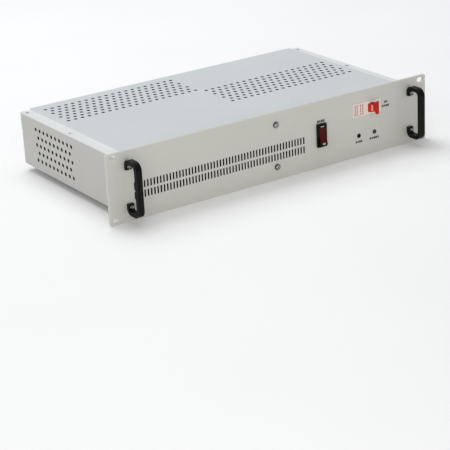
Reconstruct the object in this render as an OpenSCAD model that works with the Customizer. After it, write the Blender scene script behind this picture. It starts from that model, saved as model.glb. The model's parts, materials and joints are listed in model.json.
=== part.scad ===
// Two-unit rackmount UPS: folded steel case behind a 19 inch front panel, with two bow handles,
// a lit rocker switch, a battery breaker and the power connections on the rear panel.
// Lengths in millimetres. X runs to the right seen from the front, Y runs into the rack, Z is up.
// The origin is the centre of the four rack slots, on the face that meets the rack rails.

/* [Front panel] */
// Width of the panel
panel_w = 482.6; // [482:0.1:483]
// Height of the panel
panel_h = 88.1; // [87.5:0.1:88.9]
// Thickness of the panel
panel_t = 3; // [2:0.5:4]
// Radius of the panel's corners
panel_r = 2.5; // [1:0.5:4]
// Sideways distance between the rack slots
slot_span_x = 465.1; // [464.5:0.1:465.7]
// Upright distance between the rack slots
slot_span_z = 76.2; // [75.9:0.1:76.5]
// End-to-end length of a rack slot
slot_l = 10; // [8:0.5:11]
// Width of a rack slot
slot_w = 6.8; // [6.5:0.1:7.2]
// Slots in each row of the cooling grille
vent_count = 56; // [10:1:56]
// Distance between neighbouring cooling slots
vent_pitch = 4.5; // [4:0.1:4.5]
// Width of a cooling slot
vent_w = 2.2; // [1.5:0.1:3]
// Height of a cooling slot
vent_h = 9.5; // [6:0.5:10]

/* [Case] */
// Width of the case
case_w = 442.2; // [438:0.1:444]
// Depth from the panel's front face to the back of the cover
case_d = 251.4; // [250:0.1:260]
// Height of the case's underside above the panel's lower edge
case_z0 = 9.2; // [8:0.1:10]
// Height of the case, from its underside to the raised middle of the cover
case_h = 70.3; // [70:0.1:71]
// Thickness of the case's sheet steel
sheet_t = 1.2; // [1:0.1:1.5]
// Height of the cover's raised middle above its side strips
cover_step = 2.2; // [1.5:0.1:2.5]
// Width of the cover's lowered side strips
strip_w = 11.5; // [10:0.5:12]
// Diameter of the cooling holes
hole_d = 5; // [3:0.5:6]
// Sideways distance between the cooling holes
hole_pitch = 10; // [9:0.1:10.2]
// Distance between rows of cooling holes
row_pitch = 10.2; // [9:0.1:10.4]

/* [Handles] */
// Distance of each handle from the middle of the panel
handle_x = 213.7; // [212:0.1:215]
// Width of a handle's bar
handle_w = 8; // [7:0.5:10]
// Height of a handle
handle_h = 68.7; // [64:0.1:70]
// Reach of a handle in front of the panel
handle_reach = 27; // [24:0.5:32]
// Distance between a handle's two screws
handle_screw_span = 50.6; // [50:0.1:52]

/* [Controls] */
// Swing of the rocker switch from one end to the other, in degrees
rocker_swing = 16; // [8:1:18]
// Lean of the breaker lever from straight out, when on, in degrees
lever_on = 22; // [10:1:25]

/* [Terminals] */
// Distance between the poles of the battery and output terminals
pole_pitch = 13.4; // [12:0.1:13.5]
// Number of poles
pole_count = 4; // [2:1:4]

/* [Hidden] */

// Case levels, measured up from the panel's lower edge
field_top = case_z0 + case_h;
strip_top = field_top - cover_step;
wall_top = strip_top - sheet_t;
floor_top = case_z0 + sheet_t;
wall_x = case_w / 2;
back_y = case_d - sheet_t;
rear_face = back_y;
mid_z = panel_h / 2;
flange_w = 14;

// Cooling holes in the cover: a back left field and a front right field of one staggered grid
field_cols = 20;
field_rows = 7;
field_back_y = 232;
side_rows = [for (i = [0:4]) 22.4 + i * 10.25];
side_back_y = 212.5;

// Fasteners
panel_screw_z = [16.8, 71.8];
cover_screw_y = [18, 131, 243];
cover_screw_x = wall_x - strip_w / 2;
tab_screw = [212.8, 60];
lip_screw_z = 66;
foot_screw = [213.8, 16.8];
handle_screw_z = [mid_z - handle_screw_span / 2, mid_z + handle_screw_span / 2];
nut_h = 1.6;

// Handle section
grip_t = 5;
tab_t = 4;
bow_front_r = 10;
bow_back_r = 8;
tab_reach = 13.1;
handle_z0 = mid_z - handle_h / 2;

// Rocker switch
switch_at = [69.7, 43.15];
bezel = [14.6, 30.7, 3];
switch_hole = [13, 28.8];
well = [11.2, 27.4];
rocker = [10.8, 25.8];
rocker_pivot_y = 0.5;
trunnion_r = 1.2;

// Breaker, lying on its side
breaker_at = [143.7, 62.5];
nose = [45, 17.5, 17];
nose_face = -0.3;
shoulder_l = 80;
breaker_back = 60;
lever_pivot = [151.5, 0.5];
drum_r = 5.6;
drum_h = 10.4;
lever_pin_r = 1.5;
toggle_head = 16.4;

// Indicators
led_at = [[130, 28.4], [155.5, 28.4]];

// Rear connections, seen in the same x and z as the front
inlet_at = [190.2, 37.6];
inlet_bezel = [31.6, 24.4, 2];
inlet_hole = [27.4, 20];
inlet_well = [24.4, 16.6];
earth_at = [193, 16.9];
block_z = [40, 61];
block_right = 106;
flange_l = 12.6;
block_w = pole_count * pole_pitch;
block_left = block_right + block_w;
block_depth = 15;
pocket_depth = 7;
dsub_at = [77.3, 52.6];
dsub_pitch = 24.99;
label_at = [78.5, 27];
label_size = [44.5, 21];
spare_holes = [[106.7, 26.9], [52.2, 27.4]];

// Boards and what they carry
board_t = 1.6;
board_z = floor_top + 8;
power_at = [-200, 92];
power_size = [188, 148];
output_at = [8, 92];
output_size = [140, 112];
board_inset = 6;
transformer_at = [-28, 50];

// ---------- helpers ----------

// From panel coordinates, with y = 0 on the panel's front and z = 0 on its lower edge, to the part's
module at_rack() translate([0, -panel_t, -panel_h / 2]) children();

// An outline drawn as (x, z) made into a plate that starts at y0
module plate_y(y0, t) translate([0, y0 + t, 0]) rotate([90, 0, 0]) linear_extrude(t) children();

// An outline drawn as (y, z) made into a plate that starts at x0
module plate_x(x0, t) translate([x0, 0, 0]) rotate([90, 0, 90]) linear_extrude(t) children();

// An outline drawn as (x, y) made into a plate that starts at z0
module plate_z(z0, t) translate([0, 0, z0]) linear_extrude(t) children();

// A round bar from y0 to y1
module rod_y(r, y0, y1) translate([0, y0, 0]) rotate([-90, 0, 0]) cylinder(r = r, h = y1 - y0, $fn = 40);

// A round bar of length l centred on the x axis
module rod_x(r, l) rotate([0, 90, 0]) cylinder(r = r, h = l, center = true, $fn = 40);

module round_rect(w, h, r) {
    square([w, h - 2 * r], center = true);
    square([w - 2 * r, h], center = true);
    for (sx = [-1, 1], sz = [-1, 1])
        translate([sx * (w / 2 - r), sz * (h / 2 - r)])
            circle(r = r, $fn = 32);
}

// A slot outline with round ends, longer along x
module slot_outline(l, w) {
    square([l - w, w], center = true);
    for (s = [-1, 1])
        translate([s * (l - w) / 2, 0])
            circle(d = w, $fn = 32);
}

// Half the outline of a pan head, for turning
function pan_outline(r, h) = concat(
    [[0, 0], [r, 0], [r, h * 0.4]],
    [for (a = [18:18:90]) [r * cos(a), h * (0.4 + 0.6 * sin(a))]]
);

// A cross-recessed pan-head screw standing on z = 0
module pan_screw(head_d, head_h, shank_d, length) {
    difference() {
        union() {
            rotate_extrude($fn = 32) polygon(pan_outline(head_d / 2, head_h));
            translate([0, 0, -length]) cylinder(d = shank_d, h = length + 0.2, $fn = 24);
        }
        for (a = [45, 135])
            rotate(a)
                translate([-head_d * 0.28, -head_d * 0.07, head_h - 1.1])
                    cube([head_d * 0.56, head_d * 0.14, 2]);
    }
}

module screw_forward(x, y, z, head_d, head_h, shank_d, length)
    translate([x, y, z]) rotate([90, 0, 0]) pan_screw(head_d, head_h, shank_d, length);

module screw_backward(x, y, z, head_d, head_h, shank_d, length)
    translate([x, y, z]) rotate([-90, 0, 0]) pan_screw(head_d, head_h, shank_d, length);

// A clinch nut pressed on the far side of a sheet, along y
module nut_ring(x, y, z, bore_d)
    translate([x, y, z]) difference() {
        rod_y(3.2, 0, nut_h);
        rod_y(bore_d / 2, -1, nut_h + 1);
    }

// ---------- case ----------

module vent_slots()
    for (row_z = [29.8, 41.8], i = [0:vent_count - 1])
        translate([42.5 - i * vent_pitch, row_z])
            rotate(90) slot_outline(vent_h, vent_w);

module front_panel() color("gainsboro") at_rack()
    plate_y(0, panel_t) difference() {
        translate([0, mid_z]) round_rect(panel_w, panel_h, panel_r);
        for (sx = [-1, 1], sz = [-1, 1])
            translate([sx * slot_span_x / 2, mid_z + sz * slot_span_z / 2])
                slot_outline(slot_l, slot_w);
        vent_slots();
        for (z = panel_screw_z)
            translate([0.5, z]) circle(d = 4.4, $fn = 32);
        for (sx = [-1, 1], z = handle_screw_z)
            translate([sx * handle_x, z]) circle(d = 3.4, $fn = 32);
        translate(switch_at) square(switch_hole, center = true);
        translate(breaker_at) square([nose[0] + 0.4, nose[1] + 0.4], center = true);
        for (p = led_at)
            translate(p) circle(r = 2.3, $fn = 32);
    }

// Cooling holes through the left wall
module side_holes()
    for (k = [0:4], i = [0:9 - k % 2])
        translate([side_back_y - (i + (k % 2) / 2) * row_pitch, side_rows[k]])
            circle(d = hole_d, $fn = 24);

module tray_wall(side)
    plate_x(side < 0 ? -wall_x : wall_x - sheet_t, sheet_t) difference() {
        translate([panel_t, case_z0]) square([back_y - panel_t, wall_top - case_z0]);
        if (side < 0) side_holes();
    }

// Flange turned inwards along the front or rear edge of a wall
module upright_flange(side, y0, holes)
    plate_y(y0, sheet_t) difference() {
        translate([side < 0 ? -wall_x + 0.6 : wall_x - flange_w, case_z0 + 0.6])
            square([flange_w - 0.6, wall_top - case_z0 - 0.6]);
        for (p = holes)
            translate([side * p[0], p[1]]) circle(d = 3.4, $fn = 32);
    }

module chassis_tray() color("lightgray") at_rack() {
    difference() {
        union() {
            translate([-wall_x + 0.1, panel_t, case_z0])
                cube([case_w - 0.2, back_y - panel_t, sheet_t]);
            for (side = [-1, 1]) {
                tray_wall(side);
                translate([side < 0 ? -wall_x + 0.6 : wall_x - strip_w, panel_t, wall_top - sheet_t])
                    cube([strip_w - 0.6, back_y - panel_t, sheet_t]);
                upright_flange(side, panel_t, [for (z = handle_screw_z) [handle_x, z]]);
                upright_flange(side, back_y - 2 * sheet_t, [tab_screw, foot_screw]);
            }
            plate_y(panel_t, sheet_t) difference() {
                translate([-wall_x + 1, case_z0 + 0.6]) square([case_w - 2, 13]);
                translate([0.5, panel_screw_z[0]]) circle(d = 4.4, $fn = 32);
                for (sx = [-1, 1])
                    translate([sx * handle_x, handle_screw_z[0]]) circle(d = 3.4, $fn = 32);
            }
        }
        for (sx = [-1, 1], y = cover_screw_y)
            translate([sx * cover_screw_x, y, wall_top - 5]) cylinder(d = 3.4, h = 10, $fn = 32);
        for (side = [-1, 1])
            translate([side < 0 ? -wall_x + sheet_t : wall_x - flange_w - 1, back_y - sheet_t, floor_top])
                cube([flange_w + 1 - sheet_t, 5, wall_top - sheet_t - floor_top]);
    }
}

// Shield-shaped opening of a nine-way connector
module dsub_outline(grow)
    polygon([
        [-8.3 - grow, 4.1 + grow], [8.3 + grow, 4.1 + grow],
        [7.1 + grow, -4.1 - grow], [-7.1 - grow, -4.1 - grow]
    ]);

module rear_panel() color("lightgray") at_rack()
    plate_y(back_y - sheet_t, sheet_t) difference() {
        translate([-wall_x + 1.6, floor_top + 0.2])
            square([case_w - 3.2, wall_top - sheet_t - floor_top - 0.4]);
        translate(inlet_at) square(inlet_hole, center = true);
        translate(earth_at) circle(d = 5.2, $fn = 32);
        translate([block_right + 2, block_z[0] + 4]) square([block_w - 4, 12]);
        for (x = [block_right - flange_l / 2, block_left + flange_l / 2])
            translate([x, 50.5]) circle(d = 4.2, $fn = 32);
        translate(dsub_at) dsub_outline(1);
        for (s = [-1, 1])
            translate([dsub_at[0] + s * dsub_pitch / 2, dsub_at[1]]) circle(d = 3.4, $fn = 32);
        for (p = spare_holes)
            translate(p) circle(d = 3, $fn = 24);
        for (sx = [-1, 1], p = [tab_screw, foot_screw])
            translate([sx * p[0], p[1]]) circle(d = 3.4, $fn = 32);
        translate([0, lip_screw_z]) circle(d = 3.4, $fn = 32);
    }

// One field of staggered cooling holes; first is the column of the leftmost hole
module cover_field(first, back)
    for (r = [0:field_rows - 1], c = [0:field_cols - 1 - r % 2])
        translate([
            (first - field_cols + 0.5 + c + (r % 2) / 2) * hole_pitch,
            back - r * row_pitch
        ])
            circle(d = hole_d, $fn = 24);

// Edge of the cover from its raised middle down to a side strip, drawn as (x, z) for x > 0
module cover_edge_outline(joggle_x) {
    x1 = wall_x - strip_w;
    polygon([
        [joggle_x - 0.5, field_top - sheet_t], [joggle_x, field_top - sheet_t],
        [x1, strip_top - sheet_t], [wall_x, strip_top - sheet_t],
        [wall_x, strip_top], [x1 + 0.6, strip_top],
        [joggle_x + 0.6, field_top], [joggle_x - 0.5, field_top]
    ]);
}

// Outline of the cover's rear lip, drawn as (x, z)
module rear_lip_outline(joggle_x)
    difference() {
        polygon([
            [-wall_x, strip_top - sheet_t / 2], [-wall_x, 54.5], [-205, 54.5], [-190.5, 69.2],
            [-12, 69.2], [-8, 61.5], [8, 61.5], [12, 69.2],
            [190.5, 69.2], [205, 54.5], [wall_x, 54.5], [wall_x, strip_top - sheet_t / 2],
            [wall_x - strip_w, strip_top - sheet_t / 2], [joggle_x, field_top - sheet_t / 2],
            [-joggle_x, field_top - sheet_t / 2], [-wall_x + strip_w, strip_top - sheet_t / 2]
        ]);
        for (sx = [-1, 1])
            translate([sx * tab_screw[0], tab_screw[1]]) circle(d = 3.4, $fn = 32);
        translate([0, lip_screw_z]) circle(d = 3.4, $fn = 32);
    }

module top_cover() color("whitesmoke") at_rack() {
    joggle_x = wall_x - strip_w - 4;
    difference() {
        union() {
            plate_z(field_top - sheet_t, sheet_t) difference() {
                translate([-joggle_x, panel_t]) square([2 * joggle_x, case_d - panel_t]);
                cover_field(0, field_back_y);
                cover_field(field_cols, field_back_y - field_rows * row_pitch);
            }
            for (side = [0, 1])
                mirror([side, 0, 0])
                    plate_y(panel_t, case_d - panel_t) cover_edge_outline(joggle_x);
            plate_y(case_d - sheet_t, sheet_t) rear_lip_outline(joggle_x);
            plate_y(panel_t, sheet_t) difference() {
                translate([-joggle_x + 3, 66]) square([2 * joggle_x - 6, field_top - 66.6]);
                translate([0.5, panel_screw_z[1]]) circle(d = 4.4, $fn = 32);
                translate(breaker_at) square([nose[0] + 1, nose[1] + 1], center = true);
            }
        }
        for (sx = [-1, 1], y = cover_screw_y)
            translate([sx * cover_screw_x, y, strip_top - sheet_t]) {
                translate([0, 0, -1]) cylinder(d = 3.4, h = 4, $fn = 32);
                translate([0, 0, -0.2]) cylinder(d1 = 3.4, d2 = 6.4, h = 1.41, $fn = 32);
            }
        for (sx = [-1, 1])
            translate([sx * (wall_x - strip_w - 1), case_d - 1, 60]) cylinder(r = 1.7, h = 30, $fn = 32);
    }
}

// ---------- handles ----------

// Rounded block in (y, z), reaching forwards from y = 0 and up from z = 0
module bow_outline(reach, height, front_r, back_r) {
    translate([-reach + front_r, 0]) square([reach - front_r - back_r, height]);
    translate([-reach, front_r]) square([front_r, height - 2 * front_r]);
    translate([-back_r, back_r]) square([back_r, height - 2 * back_r]);
    for (top = [0, 1]) {
        translate([-reach + front_r, top ? height - front_r : front_r]) circle(r = front_r, $fn = 64);
        translate([-back_r, top ? height - back_r : back_r]) circle(r = back_r, $fn = 64);
    }
}

module handle(side)
    difference() {
        plate_x(side * handle_x - handle_w / 2, handle_w)
            translate([0, handle_z0]) difference() {
                bow_outline(handle_reach, handle_h, bow_front_r, bow_back_r);
                translate([-tab_t, grip_t])
                    bow_outline(handle_reach - tab_t - grip_t, handle_h - 2 * grip_t,
                        bow_front_r - grip_t, bow_back_r - grip_t);
                translate([-tab_t - 1, tab_reach]) square([tab_t + 2, handle_h - 2 * tab_reach]);
            }
        for (z = handle_screw_z)
            translate([side * handle_x, 0, z]) {
                rod_y(1.7, -tab_t - 1, 1);
                rod_y(3, -tab_t - 3, -tab_t + 0.2);
            }
    }

module handle_left() color("#1c1c1c") at_rack() handle(-1);
module handle_right() color("#1c1c1c") at_rack() handle(1);

module handle_screws() color("silver") at_rack()
    for (side = [-1, 1], z = handle_screw_z)
        screw_forward(side * handle_x, -tab_t + 0.2, z, 5.4, 2, 3, 11);

// ---------- fasteners ----------

module panel_screws() color("silver") at_rack()
    for (z = panel_screw_z)
        screw_forward(0.5, 0, z, 8, 2.6, 4, 8);

module cover_screws() color("silver") at_rack()
    for (sx = [-1, 1], y = cover_screw_y)
        translate([sx * cover_screw_x, y, strip_top]) difference() {
            union() {
                translate([0, 0, -1.4]) cylinder(d1 = 3, d2 = 6, h = 1.3, $fn = 32);
                translate([0, 0, -6]) cylinder(d = 3, h = 4.8, $fn = 24);
            }
            for (a = [0, 90])
                rotate(a) translate([-1.6, -0.35, -0.9]) cube([3.2, 0.7, 2]);
        }

module rear_cover_screws() color("silver") at_rack() {
    for (sx = [-1, 1])
        screw_backward(sx * tab_screw[0], case_d, tab_screw[1], 7, 2.4, 3, 7);
    screw_backward(0, case_d, lip_screw_z, 7, 2.4, 3, 7);
}

module rear_panel_screws() color("dimgray") at_rack()
    for (sx = [-1, 1])
        screw_backward(sx * foot_screw[0], rear_face, foot_screw[1], 6, 1.8, 3, 7);

module clinch_nuts() color("silver") at_rack() {
    for (sx = [-1, 1], z = handle_screw_z)
        nut_ring(sx * handle_x, panel_t + sheet_t, z, 3);
    for (z = panel_screw_z)
        nut_ring(0.5, panel_t + sheet_t, z, 4);
    for (sx = [-1, 1], p = [tab_screw, foot_screw])
        nut_ring(sx * p[0], back_y - 2 * sheet_t - nut_h, p[1], 3);
    nut_ring(0, back_y - sheet_t - nut_h, lip_screw_z, 3);
    for (sx = [-1, 1], y = cover_screw_y)
        translate([sx * cover_screw_x, y, wall_top - sheet_t - nut_h]) difference() {
            cylinder(r = 3.2, h = nut_h, $fn = 40);
            translate([0, 0, -1]) cylinder(d = 3, h = nut_h + 2, $fn = 24);
        }
}

// ---------- rocker switch ----------

module switch_body() color("#151515") at_rack()
    translate([switch_at[0], 0, switch_at[1]]) difference() {
        union() {
            plate_y(-bezel[2], bezel[2]) round_rect(bezel[0], bezel[1], 1);
            plate_y(-0.5, 22.5) square([switch_hole[0] - 0.2, switch_hole[1] - 0.2], center = true);
        }
        plate_y(-bezel[2] - 1, bezel[2] + 8) square(well, center = true);
        translate([0, rocker_pivot_y, 0]) rod_x(trunnion_r + 0.05, 20);
        for (z = [-8, 0, 8])
            translate([-3, 15, z - 0.5]) cube([6, 10, 1]);
    }

// Side outline of the rocker about its pivot, drawn as (y, z)
module rocker_outline()
    polygon([
        [-3.9, 0], [-5.75, rocker[1] / 2], [-1.2, rocker[1] / 2], [3.2, 6],
        [3.2, -6], [-1.2, -rocker[1] / 2], [-5.75, -rocker[1] / 2]
    ]);

// Places the rocker's parts on its pivot, with the upper end pressed in
module at_rocker()
    translate([switch_at[0], rocker_pivot_y, switch_at[1]])
        rotate([-rocker_swing / 2, 0, 0]) children();

lens_half = 9.4;
module switch_rocker() color("#181818") at_rack() at_rocker() {
    difference() {
        plate_x(-rocker[0] / 2, rocker[0]) rocker_outline();
        translate([-4.6, -8, -lens_half - 0.05]) cube([9.2, 6.5, 2 * lens_half + 0.1]);
    }
    rod_x(trunnion_r, rocker[0] + 1.4);
}

module rocker_lens() color("#7a0a0a") at_rack() at_rocker()
    plate_x(-4.55, 9.1) polygon([
        [-3.95, 0], [-3.95 - 1.85 * lens_half / (rocker[1] / 2), lens_half], [-1.6, lens_half],
        [-1.6, -lens_half], [-3.95 - 1.85 * lens_half / (rocker[1] / 2), -lens_half]
    ]);

module switch_blades() color("silver") at_rack()
    for (z = [-8, 0, 8])
        translate([switch_at[0] - 2.4, 15, switch_at[1] + z - 0.4]) difference() {
            cube([4.8, 15, 0.8]);
            translate([2.4, 12.5, -1]) cylinder(d = 1.6, h = 3, $fn = 24);
        }

// ---------- breaker ----------

module breaker_body() color("white") at_rack()
    difference() {
        union() {
            translate([breaker_at[0] - nose[0] / 2, nose_face, breaker_at[1] - nose[1] / 2])
                cube([nose[0], nose[2] + 1 - nose_face, nose[1]]);
            translate([breaker_at[0] - shoulder_l / 2, nose[2], breaker_at[1] - nose[1] / 2])
                cube([shoulder_l, breaker_back - nose[2], nose[1]]);
        }
        translate([lever_pivot[0], lever_pivot[1], breaker_at[1]]) {
            cylinder(r = drum_r + 0.3, h = drum_h + 0.6, center = true, $fn = 64);
            cylinder(r = lever_pin_r + 0.05, h = drum_h + 3.4, center = true, $fn = 40);
        }
        for (s = [-1, 1])
            translate([breaker_at[0] + s * shoulder_l / 2, 30, breaker_at[1]])
                cube([22, 11, 12], center = true);
        translate([breaker_at[0] - 17.8, breaker_back - 2.5, breaker_at[1] - 15]) cube([35.6, 10, 30]);
    }

module breaker_toggle() color("#c8260e") at_rack()
    translate([lever_pivot[0], lever_pivot[1], breaker_at[1]]) {
        cylinder(r = drum_r, h = drum_h, center = true, $fn = 64);
        cylinder(r = lever_pin_r, h = drum_h + 3, center = true, $fn = 40);
        rotate(lever_on) intersection() {
            plate_x(-3, 7) toggle_front();
            linear_extrude(toggle_head, center = true) toggle_side();
        }
    }

// Outline of the lever seen along X, as [y, z]: a stem that flares into a wide head
module toggle_front()
    polygon([
        [-2.2, drum_h / 2], [-6.6, drum_h / 2], [-8, toggle_head / 2], [-9.8, toggle_head / 2],
        [-9.8, -toggle_head / 2], [-8, -toggle_head / 2], [-6.6, -drum_h / 2], [-2.2, -drum_h / 2]
    ]);

// Outline of the lever seen along its pivot, as [x, y]
module toggle_side()
    polygon([
        [-2, -2.2], [-2, -6.6], [-2.3, -8], [-2.3, -9.8],
        [2.8, -9.8], [2.8, -8], [2.3, -6.6], [2, -2.2]
    ]);

module breaker_clamps() color("#b0a070") at_rack()
    for (s = [-1, 1])
        translate([breaker_at[0] + s * (shoulder_l / 2 - 5.5), 30, breaker_at[1]])
            difference() {
                cube([9, 10.4, 11.4], center = true);
                cube([20, 6.4, 7.4], center = true);
            }

// Upright length of top-hat rail that the breaker clips to, with its feet on the floor
module breaker_rail() color("silver") at_rack()
    translate([breaker_at[0], 0, 0]) {
        y0 = breaker_back - 2.4;
        for (s = [-1, 1]) {
            translate([s < 0 ? -17.5 : 12.5, y0, floor_top]) cube([5, 1, 64]);
            translate([s < 0 ? -13.5 : 12.5, y0, floor_top]) cube([1, 7.5, 64]);
        }
        translate([-13.5, y0 + 6.5, floor_top]) cube([27, 1, 64]);
        translate([-13.5, y0 + 7.4, floor_top]) cube([27, 14, 1]);
    }

// ---------- indicators ----------

module led_holders() color("#101010") at_rack()
    for (p = led_at)
        translate([p[0], 0, p[1]]) difference() {
            union() {
                rod_y(2.8, -0.8, 0);
                rod_y(2.25, -0.4, 9);
            }
            rod_y(1.55, -2, 10);
        }

module led_lenses() color("#4a5a48") at_rack()
    for (p = led_at)
        translate([p[0], 0, p[1]]) {
            rod_y(1.5, 0.2, 12);
            translate([0, 0.2, 0]) sphere(r = 1.5, $fn = 32);
        }

module indicator_board() color("#2f6b3c") at_rack()
    translate([120, 12, 18]) difference() {
        cube([46, board_t, 20]);
        for (x = [4, 42])
            translate([x, 0, 4]) rod_y(1.2, -1, 3);
    }

// ---------- mains inlet and earth ----------

module inlet_body() color("#141414") at_rack()
    translate([inlet_at[0], rear_face, inlet_at[1]]) difference() {
        union() {
            plate_y(0, inlet_bezel[2]) round_rect(inlet_bezel[0], inlet_bezel[1], 2);
            plate_y(-21, 21.5) square([inlet_hole[0] - 0.3, inlet_hole[1] - 0.3], center = true);
        }
        plate_y(-17, 25) polygon([
            [-inlet_well[0] / 2, -inlet_well[1] / 2], [inlet_well[0] / 2, -inlet_well[1] / 2],
            [inlet_well[0] / 2, inlet_well[1] / 2 - 5], [inlet_well[0] / 2 - 5, inlet_well[1] / 2],
            [-inlet_well[0] / 2 + 5, inlet_well[1] / 2], [-inlet_well[0] / 2, inlet_well[1] / 2 - 5]
        ]);
        for (p = [[-7, -2], [7, -2], [0, 2]])
            translate([p[0] - 1, -30, p[1] - 2]) cube([2, 20, 4]);
    }

module inlet_blades() color("silver") at_rack()
    translate([inlet_at[0], rear_face, inlet_at[1]])
        for (p = [[-7, -2], [7, -2], [0, 2]])
            translate([p[0] - 1, -28, p[1] - 2]) cube([2, 27, 4]);

module earth_stud() color("silver") at_rack()
    translate([earth_at[0], 0, earth_at[1]]) rod_y(2.5, rear_face - 8, rear_face + 13);

module earth_washers() color("#c9b25e") at_rack()
    translate([earth_at[0], rear_face, earth_at[1]]) difference() {
        union() {
            rod_y(6, 0, 1.2);
            rod_y(5, 4.9, 6);
        }
        rod_y(2.55, -1, 9);
    }

module earth_nuts() color("silver") at_rack()
    translate([earth_at[0], rear_face, earth_at[1]]) difference() {
        for (y = [1.2, 6, -sheet_t - 4])
            translate([0, y, 0]) rotate([-90, 0, 0]) cylinder(d = 9.2, h = y < 0 ? 4 : 3.7, $fn = 6);
        rod_y(2.52, -9, 15);
    }

// ---------- terminal block ----------

module terminal_base() color("#171717") at_rack()
    translate([0, rear_face, 0]) difference() {
        union() {
            translate([block_right, 0, block_z[0]])
                cube([block_w, block_depth, block_z[1] - block_z[0]]);
            for (x = [block_right - flange_l, block_left - 0.5])
                translate([x, 0, block_z[0]]) cube([flange_l + 0.5, 5, block_z[1] - block_z[0]]);
            translate([block_right + 3, -9, block_z[0] + 5]) cube([block_w - 6, 9.5, 10]);
        }
        for (i = [0:pole_count - 1]) {
            x = block_right + (i + 0.5) * pole_pitch;
            translate([x - 5.5, block_depth - pocket_depth, block_z[0] - 1]) cube([11, 10, 18.5]);
            translate([x, 0, 50]) rod_y(2.1, -12, 12);
        }
        for (i = [1:pole_count - 1])
            translate([block_right + i * pole_pitch, 5, block_z[1]])
                rotate([0, 45, 0]) cube([0.9, 30, 0.9], center = true);
        for (x = [block_right - flange_l / 2, block_left + flange_l / 2])
            translate([x, 0, 50.5]) rod_y(2.1, -1, 8);
    }

module terminal_plates() color("#c8c4b0") at_rack()
    translate([0, rear_face + block_depth - pocket_depth, 0])
        for (i = [0:pole_count - 1])
            translate([block_right + (i + 0.5) * pole_pitch, 0, 0]) difference() {
                translate([-4.6, 0, block_z[0] + 1]) cube([9.2, 1, 15.5]);
                translate([0, 0, 50]) rod_y(2.1, -1, 3);
            }

module terminal_screws() color("silver") at_rack()
    for (i = [0:pole_count - 1])
        screw_backward(block_right + (i + 0.5) * pole_pitch,
            rear_face + block_depth - pocket_depth + 1, 50, 7.6, 2.8, 4, 22);

// Clear cover that snaps over the block: a front, a top hood and two sides
module terminal_cover() color([0.85, 0.9, 0.9, 0.35]) at_rack() {
    y0 = rear_face + block_depth;
    translate([block_right - 1.6, y0 + 1.4, block_z[0] - 0.6])
        cube([block_w + 3.2, 1.6, block_z[1] - block_z[0] + 2.4]);
    translate([block_right - 1.6, y0 - 6, block_z[1] + 0.3]) cube([block_w + 3.2, 9, 1.5]);
    for (x = [block_right - 1.6, block_left + 0.3])
        translate([x, y0 - 6, block_z[0] - 0.6]) cube([1.3, 9, block_z[1] - block_z[0] + 2.4]);
}

module terminal_fixings() color("silver") at_rack()
    for (x = [block_right - flange_l / 2, block_left + flange_l / 2])
        screw_backward(x, rear_face + 5, 50.5, 7, 2.4, 4, 11);

// ---------- signal connector ----------

module dsub_shell() color("#b89a5a") at_rack()
    translate([dsub_at[0], rear_face, dsub_at[1]]) difference() {
        union() {
            plate_y(0, 0.9) round_rect(30.4, 12.4, 1);
            plate_y(-5, 11) dsub_outline(0);
        }
        plate_y(-6, 14) dsub_outline(-0.7);
        for (s = [-1, 1])
            translate([s * dsub_pitch / 2, 0, 0]) rod_y(1.6, -1, 3);
    }

dsub_places = [
    for (i = [0:4]) [(i - 2) * 2.77, 1.4],
    for (i = [0:3]) [(i - 1.5) * 2.77, -1.4]
];

module dsub_insert() color("#d8c8a0") at_rack()
    translate([dsub_at[0], rear_face, dsub_at[1]]) difference() {
        plate_y(-5, 10.6) dsub_outline(-0.75);
        for (p = dsub_places)
            translate([p[0], 0, p[1]]) rod_y(0.75, -6, 8);
    }

module dsub_contacts() color("#c9a94a") at_rack()
    translate([dsub_at[0], rear_face, dsub_at[1]])
        for (p = dsub_places)
            translate([p[0], 0, p[1]]) difference() {
                rod_y(0.72, -10, 5);
                rod_y(0.45, -1, 6);
            }

module dsub_jackscrews() color("silver") at_rack()
    translate([dsub_at[0], rear_face, dsub_at[1]])
        for (s = [-1, 1])
            translate([s * dsub_pitch / 2, 0.9, 0]) difference() {
                union() {
                    rotate([-90, 0, 0]) cylinder(d = 5.4, h = 5, $fn = 6);
                    rod_y(1.45, -5, 0.5);
                }
                rod_y(1.2, 1, 6);
            }

module rating_label() color("#9aa4b0") at_rack()
    translate([label_at[0], rear_face, label_at[1]])
        plate_y(0, 0.2) round_rect(label_size[0], label_size[1], 0.8);

// ---------- inside ----------

// Places children at the four corners of a board
module at_corners(at, size)
    for (x = [board_inset, size[0] - board_inset], y = [board_inset, size[1] - board_inset])
        translate([at[0] + x, at[1] + y, 0]) children();

module board(at, size)
    difference() {
        translate([at[0], at[1], board_z]) cube([size[0], size[1], board_t]);
        at_corners(at, size) translate([0, 0, board_z - 1]) cylinder(d = 3.4, h = 5, $fn = 24);
    }

module power_board() color("#2f6b3c") at_rack() board(power_at, power_size);
module output_board() color("#2f6b3c") at_rack() board(output_at, output_size);

module board_standoffs() color("#c9a94a") at_rack() {
    for (b = [[power_at, power_size], [output_at, output_size]])
        at_corners(b[0], b[1])
            translate([0, 0, floor_top]) difference() {
                cylinder(d = 6, h = board_z - floor_top, $fn = 6);
                translate([0, 0, 2]) cylinder(d = 3, h = 20, $fn = 24);
            }
}

module board_screws() color("silver") at_rack() {
    for (b = [[power_at, power_size], [output_at, output_size]])
        at_corners(b[0], b[1])
            translate([0, 0, board_z + board_t]) pan_screw(5.6, 1.8, 3, 6);
}

module transformer_core() color("#4a4a4a") at_rack()
    translate([transformer_at[0], transformer_at[1], floor_top]) difference() {
        translate([-45, -17, 0]) cube([90, 34, 58]);
        for (s = [-1, 1])
            translate([s * 22.5, 0, 29]) cube([15, 40, 30], center = true);
        for (sx = [-1, 1], z = [6, 52])
            translate([sx * 39, 0, z]) rod_y(2.2, -20, 20);
    }

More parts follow.
